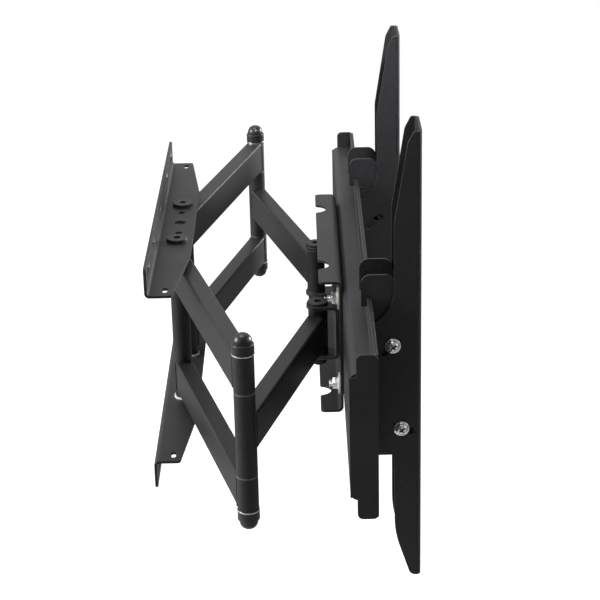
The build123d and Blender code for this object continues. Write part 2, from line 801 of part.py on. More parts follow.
# Screen brackets on their hook brackets
screen_piece = Pos(-bracket_x, 0, 0) * screen_bracket()
hook_piece = Pos(-bracket_x, 0, 0) * hook_bracket()
safety_piece = Pos(-bracket_x, 0, 0) * safety_screw()
screw_places = [Pos(-bracket_x, -depth, z) for depth, z in (upper_screw, lower_screw)]
for name, side in SIDES:
    write(f"{name}_screen_bracket", to_side(screen_piece, side))
    write(f"{name}_hook_bracket", to_side(hook_piece, side))
    write(f"{name}_safety_screw", to_side(safety_piece, side))
    for part in ("screw", "spacer", "nut"):
        pieces = [to_side(place * tilt_fastener(part), side) for place in screw_places]
        write(f"{name}_tilt_{part}s", *pieces)
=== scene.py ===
import math

import bpy
from mathutils import Matrix, Vector


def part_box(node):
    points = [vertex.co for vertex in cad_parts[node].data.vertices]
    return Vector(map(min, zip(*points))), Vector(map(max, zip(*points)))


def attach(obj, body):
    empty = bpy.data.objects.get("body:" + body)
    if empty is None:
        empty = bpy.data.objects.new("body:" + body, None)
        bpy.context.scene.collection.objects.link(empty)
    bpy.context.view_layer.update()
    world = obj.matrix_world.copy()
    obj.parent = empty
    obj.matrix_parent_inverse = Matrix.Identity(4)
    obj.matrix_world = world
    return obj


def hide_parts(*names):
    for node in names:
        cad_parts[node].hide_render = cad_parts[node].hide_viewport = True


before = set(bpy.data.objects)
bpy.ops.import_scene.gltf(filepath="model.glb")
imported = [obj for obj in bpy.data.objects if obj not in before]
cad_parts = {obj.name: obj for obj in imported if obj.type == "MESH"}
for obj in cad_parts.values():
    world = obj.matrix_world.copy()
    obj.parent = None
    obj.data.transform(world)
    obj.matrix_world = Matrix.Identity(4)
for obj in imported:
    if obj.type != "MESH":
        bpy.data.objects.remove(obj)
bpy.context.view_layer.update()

# Wall angles: two lengths of 3 mm sheet steel, punched and folded, one above and one
# below the arms. They are sprayed with black powder that bakes to a fine matt grain.
# Lag screws through the slots hold them to the wall.


def grain_noise(tree, scale, detail, roughness):
    """Noise on the piece's own coordinates, with the given number of grains to the metre."""
    place = tree.nodes.new("ShaderNodeTexCoord")
    noise = tree.nodes.new("ShaderNodeTexNoise")
    noise.inputs["Scale"].default_value = scale
    noise.inputs["Detail"].default_value = detail
    noise.inputs["Roughness"].default_value = roughness
    tree.links.new(place.outputs["Object"], noise.inputs["Vector"])
    return noise.outputs["Fac"]


def spread(tree, value, low, high, to_low, to_high):
    """Stretches the part of a value between low and high over a new range."""
    node = tree.nodes.new("ShaderNodeMapRange")
    node.inputs["From Min"].default_value = low
    node.inputs["From Max"].default_value = high
    node.inputs["To Min"].default_value = to_low
    node.inputs["To Max"].default_value = to_high
    tree.links.new(value, node.inputs["Value"])
    return node.outputs["Result"]


def blend_colours(tree, share, first, second):
    """Colour between two others, each given as numbers or as a socket."""
    node = tree.nodes.new("ShaderNodeMix")
    node.data_type = "RGBA"
    tree.links.new(share, node.inputs["Factor"])
    for name, colour in (("A", first), ("B", second)):
        socket = [s for s in node.inputs if s.name == name and s.type == "RGBA"][0]
        if isinstance(colour, tuple):
            socket.default_value = (*colour, 1.0)
        else:
            tree.links.new(colour, socket)
    return [s for s in node.outputs if s.type == "RGBA"][0]


def combine(tree, operation, first, second):
    """One number from two, each given as a number or as a socket."""
    node = tree.nodes.new("ShaderNodeMath")
    node.operation = operation
    for slot, value in enumerate((first, second)):
        if isinstance(value, (int, float)):
            node.inputs[slot].default_value = value
        else:
            tree.links.new(value, node.inputs[slot])
    return node.outputs[0]


def new_finish(name):
    """A fresh material with its node tree and main shader."""
    material = bpy.data.materials.new(name)
    material.use_nodes = True
    tree = material.node_tree
    return material, tree, tree.nodes["Principled BSDF"]


def raise_grain(tree, shader, height, strength, distance, rounded=None):
    """Lifts the surface by a height value, over the rounded normal where one is given."""
    bump = tree.nodes.new("ShaderNodeBump")
    bump.inputs["Strength"].default_value = strength
    bump.inputs["Distance"].default_value = distance
    tree.links.new(height, bump.inputs["Height"])
    if rounded is not None:
        tree.links.new(rounded, bump.inputs["Normal"])
    tree.links.new(bump.outputs["Normal"], shader.inputs["Normal"])


def rounded_edges(tree, radius):
    """Normal that runs round sharp edges, as a coat or a plating does."""
    rounded = tree.nodes.new("ShaderNodeBevel")
    rounded.samples = 6
    rounded.inputs["Radius"].default_value = radius
    return rounded.outputs["Normal"]


def edge_share(tree, rounded):
    """How near a point is to a sharp edge, from 0 on the flat to 1 on the edge."""
    flat = tree.nodes.new("ShaderNodeNewGeometry")
    dot = tree.nodes.new("ShaderNodeVectorMath")
    dot.operation = "DOT_PRODUCT"
    tree.links.new(rounded, dot.inputs[0])
    tree.links.new(flat.outputs["Normal"], dot.inputs[1])
    return spread(tree, dot.outputs["Value"], 0.99, 0.8, 0.0, 1.0)


def powder_coat(name, dark, light, edge, roughness, edge_radius):
    """Textured powder over steel: fine grain, orange peel, uneven film, and edges painted lighter,
    partly thin coat and partly painted highlight.
    """
    material, tree, shader = new_finish(name)
    film = grain_noise(tree, 14.0, 4.0, 0.6)
    peel = grain_noise(tree, 520.0, 3.0, 0.55)
    grain = grain_noise(tree, 2100.0, 2.0, 0.5)
    rounded = rounded_edges(tree, edge_radius)
    near_edge = edge_share(tree, rounded)
    colour = blend_colours(tree, spread(tree, film, 0.3, 0.7, 0.0, 1.0), dark, light)
    colour = blend_colours(tree, spread(tree, peel, 0.5, 0.75, 0.0, 0.25), colour, edge)
    colour = blend_colours(tree, spread(tree, grain, 0.62, 0.8, 0.0, 0.5), colour, edge)
    # Lighter colour near edges: partly the coat worn thin there, partly a painted highlight along
    # them.
    edge_wear_and_highlight = combine(tree, "MULTIPLY", near_edge, spread(tree, peel, 0.3, 0.6, 0.55, 1.0))
    colour = blend_colours(tree, edge_wear_and_highlight, colour, edge)
    tree.links.new(colour, shader.inputs["Base Color"])
    rough = spread(tree, peel, 0.3, 0.7, roughness - 0.06, roughness + 0.06)
    tree.links.new(rough, shader.inputs["Roughness"])
    shader.inputs["Specular IOR Level"].default_value = 0.35
    height = combine(tree, "ADD", combine(tree, "MULTIPLY", grain, 0.6), peel)
    raise_grain(tree, shader, height, 0.5, 0.00012, rounded)
    return material


def dress(material, *names):
    """Puts a finish on CAD pieces."""
    for name in names:
        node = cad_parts[name]
        if not node.material_slots:
            node.data.materials.append(material)
        for slot in node.material_slots:
            slot.material = material


def paint_slot_glints(material, sheet, reach, glint_colour):
    """Paints the end faces of the lag slots light grey, a painted glint where light catches them.
    """
    tree = material.node_tree
    shader = tree.nodes["Principled BSDF"]
    coated = shader.inputs["Base Color"].links[0].from_socket
    place = tree.nodes.new("ShaderNodeTexCoord")
    spot = tree.nodes.new("ShaderNodeSeparateXYZ")
    tree.links.new(place.outputs["Object"], spot.inputs["Vector"])
    facing = tree.nodes.new("ShaderNodeNewGeometry")
    turn = tree.nodes.new("ShaderNodeSeparateXYZ")
    tree.links.new(facing.outputs["True Normal"], turn.inputs["Vector"])
    slant = combine(tree, "ABSOLUTE", turn.outputs["X"], 0.0)
    endways = spread(tree, slant, 0.5, 0.7, 0.0, 1.0)
    flange = spread(tree, spot.outputs["Y"], -sheet * 1.1, -sheet, 0.0, 1.0)
    distance = combine(tree, "ABSOLUTE", spot.outputs["X"], 0.0)
    inside = spread(tree, distance, reach, reach - 0.002, 0.0, 1.0)
    share = combine(tree, "MULTIPLY", combine(tree, "MULTIPLY", endways, flange), inside)
    tree.links.new(blend_colours(tree, share, coated, glint_colour), shader.inputs["Base Color"])


sheet_edge_radius = 0.0006
angle_coat = powder_coat(
    "black_angle_coat",
    dark=(0.015, 0.015, 0.0163),
    light=(0.023, 0.023, 0.0245),
    edge=(0.075, 0.075, 0.078),
    roughness=0.5,
    edge_radius=sheet_edge_radius,
)
wall_sheet = 0.003
lag_slot_reach = 0.222
# Light grey for the painted glint on the slot ends of the wall angles.
slot_glint = (0.42, 0.42, 0.42)
paint_slot_glints(angle_coat, wall_sheet, lag_slot_reach, slot_glint)
dress(angle_coat, "wall_bracket_top", "wall_bracket_bottom")

# Wall pivot bolts: black disc headed bolts with a hex socket, dropped through the shelf of
# each wall angle, a flat washer under the head and a black plated nut underneath.
bolt_coat = powder_coat(
    "black_bolt_coat",
    dark=(0.010, 0.010, 0.010),
    light=(0.016, 0.016, 0.017),
    edge=(0.06, 0.06, 0.062),
    roughness=0.42,
    edge_radius=0.0004,
)
dress(bolt_coat, "left_wall_bolt", "right_wall_bolt", "wall_washers")


def plated_steel(name, dull, bright, roughness, metallic=1.0, edge_radius=0.0003):
    """Plated steel: a mottled bright skin with fine marks and softened edges."""
    material, tree, shader = new_finish(name)
    mottle = grain_noise(tree, 260.0, 4.0, 0.6)
    marks = grain_noise(tree, 1900.0, 2.0, 0.5)
    rounded = rounded_edges(tree, edge_radius)
    colour = blend_colours(tree, spread(tree, mottle, 0.3, 0.7, 0.0, 1.0), dull, bright)
    tree.links.new(colour, shader.inputs["Base Color"])
    rough = spread(tree, marks, 0.3, 0.7, roughness - 0.06, roughness + 0.08)
    tree.links.new(rough, shader.inputs["Roughness"])
    shader.inputs["Metallic"].default_value = metallic
    raise_grain(tree, shader, marks, 0.15, 0.00006, rounded)
    return material


black_zinc = plated_steel("black_zinc", (0.030, 0.030, 0.032), (0.050, 0.050, 0.053), 0.4)


def active_piece():
    return bpy.context.view_layer.objects.active


def apply_modifier(piece, kind, **settings):
    """Adds a modifier with its settings and applies it."""
    bpy.context.view_layer.objects.active = piece
    change = piece.modifiers.new(kind.lower(), kind)
    for setting, value in settings.items():
        setattr(change, setting, value)
    bpy.ops.object.modifier_apply(modifier=change.name)


def chamfered_nut(flats, height, bore):
    """Hexagon nut on the Z axis from 0 up, turned down at both ends and bored through."""
    bpy.ops.object.select_all(action="DESELECT")
    corner = flats / math.sqrt(3.0)
    chamfer = corner * 0.11
    edge_round = 0.00018
    middle = (0, 0, height / 2)
    bpy.ops.mesh.primitive_cylinder_add(vertices=6, radius=corner, depth=height, location=middle)
    nut = active_piece()
    bpy.ops.mesh.primitive_cylinder_add(vertices=72, radius=corner, depth=height, location=middle)
    turned = active_piece()
    bpy.ops.object.mode_set(mode="EDIT")
    bpy.ops.mesh.select_all(action="DESELECT")
    bpy.ops.object.mode_set(mode="OBJECT")
    for face in turned.data.polygons:
        face.select = abs(face.normal.z) > 0.9
    bpy.ops.object.mode_set(mode="EDIT")
    bpy.ops.mesh.select_mode(type="FACE")
    bpy.ops.mesh.bevel(offset=chamfer, segments=1, affect="EDGES")
    bpy.ops.object.mode_set(mode="OBJECT")
    apply_modifier(nut, "BOOLEAN", object=turned, operation="INTERSECT", solver="EXACT")
    through = height * 3
    bpy.ops.mesh.primitive_cylinder_add(vertices=48, radius=bore, depth=through, location=middle)
    drill = active_piece()
    apply_modifier(nut, "BOOLEAN", object=drill, operation="DIFFERENCE", solver="EXACT")
    for tool in (turned, drill):
        bpy.data.objects.remove(tool)
    apply_modifier(
        nut, "BEVEL", width=edge_round, segments=2, limit_method="ANGLE", angle_limit=0.5
    )
    return nut


def set_pieces(name, pattern, places, material, slot, body, *nodes):
    """Copies a pattern piece to each place, joins the copies and hangs them on a body."""
    copies = []
    for place in places:
        copy = bpy.data.objects.new(name, pattern.data.copy())
        bpy.context.scene.collection.objects.link(copy)
        copy.data.transform(pattern.matrix_world)
        copy.data.transform(place)
        copies.append(copy)
    bpy.data.objects.remove(pattern)
    bpy.ops.object.select_all(action="DESELECT")
    for copy in copies:
        copy.select_set(True)
    bpy.context.view_layer.objects.active = copies[0]
    bpy.ops.object.join()
    joined = active_piece()
    joined.name = name
    bpy.ops.object.shade_smooth_by_angle(angle=0.6)
    joined.data.materials.clear()
    joined.data.materials.append(material)
    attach(joined, body)
    if nodes:
        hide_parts(*nodes)


def node_middle(name):
    low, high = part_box(name)
    return (Vector(low) + Vector(high)) / 2


def upright_places(names, height):
    """Places at one height on the upright middle lines of some pieces."""
    middles = [node_middle(name) for name in names]
    return [Matrix.Translation((middle.x, middle.y, height)) for middle in middles]


pivot_nut_flats = 0.017
pivot_nut_height = 0.008
pivot_nut_bore = 0.00502
wall_bolts = ("left_wall_bolt", "right_wall_bolt")
wall_nut_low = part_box("wall_nuts")[0][2]
set_pieces(
    "wall_pivot_nuts",
    chamfered_nut(pivot_nut_flats, pivot_nut_height, pivot_nut_bore),
    upright_places(wall_bolts, wall_nut_low),
    black_zinc,
    "zinc_steel",
    "wall",
    "wall_nuts",
)


def rolled_thread(radius, pitch, turns):
    """Rolled thread ridge on the Z axis from 0 up, a triangle swept round a bolt's end."""
    bpy.ops.object.select_all(action="DESELECT")
    bpy.ops.mesh.primitive_circle_add(
        vertices=3,
        radius=pitch * 0.5,
        location=(radius, 0, pitch * 0.5),
        rotation=(math.pi / 2, math.pi / 2, 0),
    )
    ridge = active_piece()
    bpy.ops.object.transform_apply(location=True, rotation=True, scale=True)
    apply_modifier(
        ridge,
        "SCREW",
        axis="Z",
        angle=2 * math.pi,
        screw_offset=pitch,
        iterations=turns,
        steps=20,
        render_steps=20,
        use_merge_vertices=False,
    )
    bpy.ops.object.select_all(action="DESELECT")
    ridge.select_set(True)
    bpy.ops.object.mode_set(mode="EDIT")
    bpy.ops.mesh.select_all(action="SELECT")
    bpy.ops.mesh.remove_doubles(threshold=0.000001)
    bpy.ops.mesh.normals_make_consistent(inside=False)
    bpy.ops.object.mode_set(mode="OBJECT")
    return ridge


pivot_thread_radius = 0.0049
bolt_pitch = 0.0008
pivot_thread_turns = 2
thread_lead = 0.0002
wall_bolt_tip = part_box("left_wall_bolt")[0][2]
set_pieces(
    "wall_bolt_threads",
    rolled_thread(pivot_thread_radius, bolt_pitch, pivot_thread_turns),
    upright_places(wall_bolts, wall_bolt_tip + thread_lead),
    black_zinc,
    "zinc_steel",
    "wall",
)

# Rear arms: two rectangular tubes a side, coped and welded to a round post at the wall and
# to short round knuckles at the elbow. The welded arm is powder coated in one piece.
arm_coat = powder_coat(
    "black_arm_coat",
    dark=(0.011, 0.011, 0.0115),
    light=(0.0165, 0.0165, 0.017),
    edge=(0.06, 0.06, 0.063),
    roughness=0.46,
    edge_radius=0.0008,
)
for side in ("left", "right"):
    dress(arm_coat, f"{side}_wall_post", f"{side}_upper_tube", f"{side}_lower_tube")
    dress(arm_coat, f"{side}_elbow_knuckles")


def stitched_bead(radius, length):
    """Weld bead along Z about 0: a row of overlapping flattened drops."""
    bpy.ops.object.select_all(action="DESELECT")
    step = radius * 1.05
    count = int(length / step) + 1
    start = (0, 0, -step * (count - 1) / 2)
    bpy.ops.mesh.primitive_uv_sphere_add(segments=12, ring_count=8, radius=radius, location=start)
    bead = active_piece()
    bpy.ops.object.mode_set(mode="EDIT")
    bpy.ops.mesh.select_all(action="SELECT")
    bpy.ops.transform.resize(value=(1.0, 1.0, 0.85))
    bpy.ops.object.mode_set(mode="OBJECT")
    bpy.ops.object.transform_apply(location=True, rotation=True, scale=True)
    apply_modifier(
        bead,
        "ARRAY",
        count=count,
        use_relative_offset=False,
        use_constant_offset=True,
        constant_offset_displace=(0.0, 0.0, step),
    )
    return bead


def seam_places(start, end, start_radius, end_radius, half_width, heights):
    """Places of the upright seams where the two sides of a tube meet the round at each end."""
    bead_off = 0.0005
    bead_proud = 0.0001
    run = (end - start).normalized()
    across = Vector((-run.y, run.x, 0.0)) * (half_width + bead_proud)
    places = []
    for pivot, way, radius in ((start, run, start_radius), (end, -run, end_radius)):
        reach = math.sqrt(radius**2 - half_width**2) + bead_off
        for hand in (-1.0, 1.0):
            for height in heights:
                spot = pivot + way * reach + across * hand
                places.append(Matrix.Translation((spot.x, spot.y, height)))
    return places


tube_half_width = 0.010
post_radius = 0.0105
knuckle_radius = 0.011
arm_bead_radius = 0.0015
arm_bead_length = 0.033
for side in ("left", "right"):
    wall_pivot = node_middle(f"{side}_wall_post")
    elbow = node_middle(f"{side}_elbow_pin")
    heights = [node_middle(f"{side}_{tube}_tube").z for tube in ("upper", "lower")]
    set_pieces(
        f"{side}_rear_arm_welds",
        stitched_bead(arm_bead_radius, arm_bead_length),
        seam_places(wall_pivot, elbow, post_radius, knuckle_radius, tube_half_width, heights),
        arm_coat,
        "black_powder_coat",
        f"{side}_rear_arm",
    )

# Wall bushes: flanged nylon bushes pressed into the ends of the wall post, whose white
# rims carry the post between the shelves of the wall angles.


def nylon_finish(name, shade, bright, roughness):
    """Moulded nylon: milky, slightly mottled and softly shining."""
    material, tree, shader = new_finish(name)
    cloud = grain_noise(tree, 120.0, 3.0, 0.6)
    fine = grain_noise(tree, 1500.0, 2.0, 0.5)
    colour = blend_colours(tree, spread(tree, cloud, 0.3, 0.7, 0.0, 1.0), shade, bright)
    tree.links.new(colour, shader.inputs["Base Color"])
    rough = spread(tree, fine, 0.3, 0.7, roughness - 0.05, roughness + 0.05)
    tree.links.new(rough, shader.inputs["Roughness"])
    shader.inputs["Subsurface Weight"].default_value = 0.15
    shader.inputs["Subsurface Radius"].default_value = (0.001, 0.001, 0.0008)
    raise_grain(tree, shader, fine, 0.1, 0.00005)
    return material


nylon = nylon_finish("natural_nylon", (0.70, 0.70, 0.67), (0.82, 0.82, 0.80), 0.42)
dress(nylon, "left_wall_bushes", "right_wall_bushes")

# Elbow pins: plated steel pins through the three knuckles of each elbow, with a thin bright
# washer at each end and a moulded black cap pushed over each end.
zinc = plated_steel("bright_zinc", (0.62, 0.62, 0.62), (0.84, 0.84, 0.83), 0.28)
dress(zinc, "left_elbow_pin", "right_elbow_pin")
washer_zinc = plated_steel(
    "washer_zinc", (0.60, 0.61, 0.62), (0.80, 0.80, 0.80), 0.26, edge_radius=0.0002
)
dress(washer_zinc, "left_elbow_washers", "right_elbow_washers")


def moulded_plastic(name, dark, light, roughness):
    """Moulded plastic with a fine spark-eroded grain."""
    material, tree, shader = new_finish(name)
    cloud = grain_noise(tree, 40.0, 3.0, 0.6)
    grain = grain_noise(tree, 1600.0, 2.0, 0.5)
    colour = blend_colours(tree, spread(tree, cloud, 0.3, 0.7, 0.0, 1.0), dark, light)
    tree.links.new(colour, shader.inputs["Base Color"])
    rough = spread(tree, grain, 0.3, 0.7, roughness - 0.06, roughness + 0.06)
    tree.links.new(rough, shader.inputs["Roughness"])
    raise_grain(tree, shader, grain, 0.25, 0.00008)
    return material


cap_plastic = moulded_plastic(
    "black_cap_plastic", (0.012, 0.0115, 0.011), (0.018, 0.017, 0.0165), 0.33
)
dress(cap_plastic, "left_elbow_caps", "right_elbow_caps")

# Forearms: one rectangular tube a side, welded to a long bushed knuckle at the elbow and a
# shorter one at the head, coated like the rear arms.
grey_nylon = nylon_finish("grey_nylon", (0.085, 0.085, 0.085), (0.12, 0.12, 0.12), 0.5)
for side in ("left", "right"):
    dress(arm_coat, f"{side}_forearm_tube", f"{side}_forearm_elbow_knuckle")
    dress(arm_coat, f"{side}_head_knuckle")
    dress(grey_nylon, f"{side}_head_bushes", f"{side}_elbow_bushes")
    head_pivot = node_middle(f"{side}_head_knuckle")
    elbow = node_middle(f"{side}_forearm_elbow_knuckle")
    set_pieces(
        f"{side}_forearm_welds",
        stitched_bead(arm_bead_radius, arm_bead_length),
        seam_places(elbow, head_pivot, knuckle_radius, knuckle_radius, tube_half_width, (0.0,)),
        arm_coat,
        "black_powder_coat",
        f"{side}_forearm",
    )

# Head: a folded channel that opens towards the wall, its flanges notched over the pivots.
# Two folded yokes are welded inside it, and a disc headed bolt and nut close each pivot.
sheet_coat = powder_coat(
    "black_sheet_coat",
    dark=(0.0145, 0.0147, 0.0162),
    light=(0.022, 0.0222, 0.0242),
    edge=(0.08, 0.08, 0.085),
    roughness=0.5,
    edge_radius=sheet_edge_radius,
)
dress(sheet_coat, "head_channel")
# The yoke coat's edge colour is far lighter than the others, a painted highlight along the yoke's
# edges and bends.
yoke_coat = powder_coat(
    "black_yoke_coat",
    dark=(0.015, 0.015, 0.016),
    light=(0.023, 0.023, 0.024),
    edge=(0.26, 0.26, 0.27),
    roughness=0.42,
    edge_radius=0.0008,
)
dress(yoke_coat, "left_pivot_yoke", "right_pivot_yoke")
head_bolts = ("left_head_bolt", "right_head_bolt")
dress(bolt_coat, *head_bolts)
head_nut_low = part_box("head_nuts")[0][2]
set_pieces(
    "head_pivot_nuts",
    chamfered_nut(pivot_nut_flats, pivot_nut_height, pivot_nut_bore),
    upright_places(head_bolts, head_nut_low),
    black_zinc,
    "zinc_steel",
    "head",
    "head_nuts",
)
head_bolt_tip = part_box("left_head_bolt")[0][2]
set_pieces(
    "head_bolt_threads",
    rolled_thread(pivot_thread_radius, bolt_pitch, pivot_thread_turns),
    upright_places(head_bolts, head_bolt_tip + thread_lead),
    black_zinc,
    "zinc_steel",
    "head",
)
yoke_bead_radius = 0.0017
yoke_bead_length = 0.050
yoke_bead_out = 0.0004
yoke_bead_back = 0.0010
yoke_seams = []
for side in ("left", "right"):
    low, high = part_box(f"{side}_pivot_yoke")
    for edge in (low[0] - yoke_bead_out, high[0] + yoke_bead_out):
        yoke_seams.append(Matrix.Translation((edge, low[1] + yoke_bead_back, 0.0)))
set_pieces(
    "yoke_welds",
    stitched_bead(yoke_bead_radius, yoke_bead_length),
    yoke_seams,
    sheet_coat,
    "black_powder_coat",
    "head",
)

# Level bolts: four plated bolts from the panel through curved slots in the head channel,
# each with a large plain washer and a nut on the wall side.
white_zinc = plated_steel(
    "white_zinc", (0.90, 0.90, 0.90), (0.97, 0.97, 0.97), 0.2, metallic=0.75
)
dress(white_zinc, "level_bolts")
yellow_zinc = plated_steel(
    "yellow_zinc", (0.92, 0.89, 0.80), (0.98, 0.96, 0.90), 0.42, metallic=0.2
)
dress(yellow_zinc, "level_washers")
level_washer_diameter = 0.025
level_nut_flats = 0.013
level_nut_bore = 0.00402
level_thread_radius = 0.0039
level_thread_turns = 4
level_thread_lead = 0.0004
nut_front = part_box("level_nuts")[0][1]
nut_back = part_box("level_nuts")[1][1]
washers_low, washers_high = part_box("level_washers")
level_x = (washers_high[0] - washers_low[0] - level_washer_diameter) / 2
level_z = (washers_high[2] - washers_low[2] - level_washer_diameter) / 2
level_spots = [(x, z) for x in (-level_x, level_x) for z in (-level_z, level_z)]
to_wall = Matrix.Rotation(-math.pi / 2, 4, "X")
set_pieces(
    "level_lock_nuts",
    chamfered_nut(level_nut_flats, nut_back - nut_front, level_nut_bore),
    [Matrix.Translation((x, nut_front, z)) @ to_wall for x, z in level_spots],
    white_zinc,
    "zinc_steel",
    "panel",
    "level_nuts",
)
set_pieces(
    "level_bolt_threads",
    rolled_thread(level_thread_radius, bolt_pitch, level_thread_turns),
    [Matrix.Translation((x, nut_back + level_thread_lead, z)) @ to_wall for x, z in level_spots],
    white_zinc,
    "zinc_steel",
    "panel",
)

# Screen panel: a long folded tray of 2.5 mm sheet with hemmed rails above and below that the
# hook brackets hang on. The end plates have stop tabs and are sprayed as dark as the arms.
dress(sheet_coat, "screen_panel", "upper_rail", "lower_rail")
dress(arm_coat, "left_end_plate", "right_end_plate")

# Hook brackets: folded plates with two hooked ears that drop over the upper rail, and a foot
# with a plated locking screw that catches the lower rail.
for side in ("left", "right"):
    dress(sheet_coat, f"{side}_hook_bracket")
    dress(nylon, f"{side}_tilt_spacers")


def turned_piece(profile, sides):
    """Solid of revolution on the Z axis through the given radii and heights."""
    bpy.ops.object.select_all(action="DESELECT")
    radius, height = profile[0]
    bpy.ops.mesh.primitive_circle_add(
        vertices=sides, radius=radius, fill_type="NGON", location=(0, 0, height)
    )
    piece = active_piece()
    bpy.ops.object.transform_apply(location=True, rotation=True, scale=True)
    bpy.ops.object.mode_set(mode="EDIT")
    bpy.ops.mesh.select_all(action="SELECT")
    for (radius, height), (next_radius, next_height) in zip(profile, profile[1:]):
        rise = (0, 0, next_height - height)
        bpy.ops.mesh.extrude_region_move(TRANSFORM_OT_translate={"value": rise})
        grow = next_radius / radius
        bpy.ops.transform.resize(value=(grow, grow, 1.0), center_override=(0, 0, next_height))
    bpy.ops.mesh.select_all(action="SELECT")
    bpy.ops.mesh.normals_make_consistent(inside=False)
    bpy.ops.object.mode_set(mode="OBJECT")
    return piece


def joined_pieces(*pieces):
    """Joins pieces into the first of them."""
    bpy.ops.object.select_all(action="DESELECT")
    for piece in pieces:
        piece.select_set(True)
    bpy.context.view_layer.objects.active = pieces[0]
    bpy.ops.object.join()
    return active_piece()


safety_head_height = 0.004
safety_head_flats = 0.010
safety_radius = 0.003
safety_tip_chamfer = 0.0008
safety_pitch = 0.001
safety_thread_turns = 12
safety_thread_length = 0.0138
for side in ("left", "right"):
    low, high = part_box(f"{side}_safety_screw")
    middle = node_middle(f"{side}_safety_screw")
    tip = high[2] - low[2]
    shank = turned_piece(
        [
            (safety_radius, safety_head_height * 0.5),
            (safety_radius, tip - safety_tip_chamfer),
            (safety_radius * 0.72, tip),
        ],
        sides=40,
    )
    thread = rolled_thread(safety_radius - 0.0001, safety_pitch, safety_thread_turns)
    thread.data.transform(Matrix.Translation((0, 0, tip - safety_thread_length)))
    head = chamfered_nut(safety_head_flats, safety_head_height, safety_radius - 0.0002)
    set_pieces(
        f"{side}_locking_screw",
        joined_pieces(head, shank, thread),
        [Matrix.Translation((middle.x, middle.y, low[2]))],
        zinc,
        "zinc_steel",
        f"{side}_hook",
        f"{side}_safety_screw",
    )

# Screen brackets: tall folded channels with tapered ends and a belly towards the wall. Two
# nickel plated pan head screws clamp each to its hook bracket through curved tilt slots.
bracket_coat = powder_coat(
    "black_bracket_coat",
    dark=(0.013, 0.0132, 0.0148),
    light=(0.020, 0.0202, 0.0222),
    edge=(0.08, 0.08, 0.085),
    roughness=0.5,
    edge_radius=sheet_edge_radius,
)
nickel = plated_steel(
    "bright_nickel", (0.88, 0.88, 0.87), (0.98, 0.98, 0.97), 0.16, metallic=0.8
)


def paint_hollow_shade(material, depth, hollow_shade):
    """Paints shade into the corners and recesses of a plated piece, a painted darkening where
    light doesn't reach.
    """
    tree = material.node_tree
    shader = tree.nodes["Principled BSDF"]
    plated = shader.inputs["Base Color"].links[0].from_socket
    open_share = tree.nodes.new("ShaderNodeAmbientOcclusion")
    open_share.samples = 12
    open_share.inputs["Distance"].default_value = depth
    share = spread(tree, open_share.outputs["AO"], 0.45, 0.9, 0.0, 1.0)
    tree.links.new(blend_colours(tree, share, hollow_shade, plated), shader.inputs["Base Color"])


# Painted shade for the cross recess and the rim of each screw head, near black.
shade_reach = 0.0028
paint_hollow_shade(nickel, shade_reach, (0.02, 0.02, 0.024))


def sink_cross(piece, top, length, width, depth, turn):
    """Sinks a tapered cross recess for a screwdriver into the top of a piece."""
    clear = 0.0005
    taper = 0.45
    for quarter in (0.0, math.pi / 2):
        bpy.ops.object.select_all(action="DESELECT")
        bpy.ops.mesh.primitive_cube_add(size=1.0, location=(0, 0, top - depth / 2 + clear))
        blade = active_piece()
        blade.scale = (length, width, depth + 2 * clear)
        blade.rotation_euler = (0, 0, turn + quarter)
        bpy.ops.object.transform_apply(location=True, rotation=True, scale=True)
        bpy.ops.object.mode_set(mode="EDIT")
        bpy.ops.mesh.select_all(action="DESELECT")
        bpy.ops.object.mode_set(mode="OBJECT")
        for face in blade.data.polygons:
            face.select = face.normal.z < -0.9
        bpy.ops.object.mode_set(mode="EDIT")
        bpy.ops.mesh.select_mode(type="FACE")
        bpy.ops.transform.resize(value=(taper, taper, 1.0), center_override=(0, 0, top - depth))
        bpy.ops.object.mode_set(mode="OBJECT")
        apply_modifier(piece, "BOOLEAN", object=blade, operation="DIFFERENCE", solver="EXACT")
        bpy.data.objects.remove(blade)


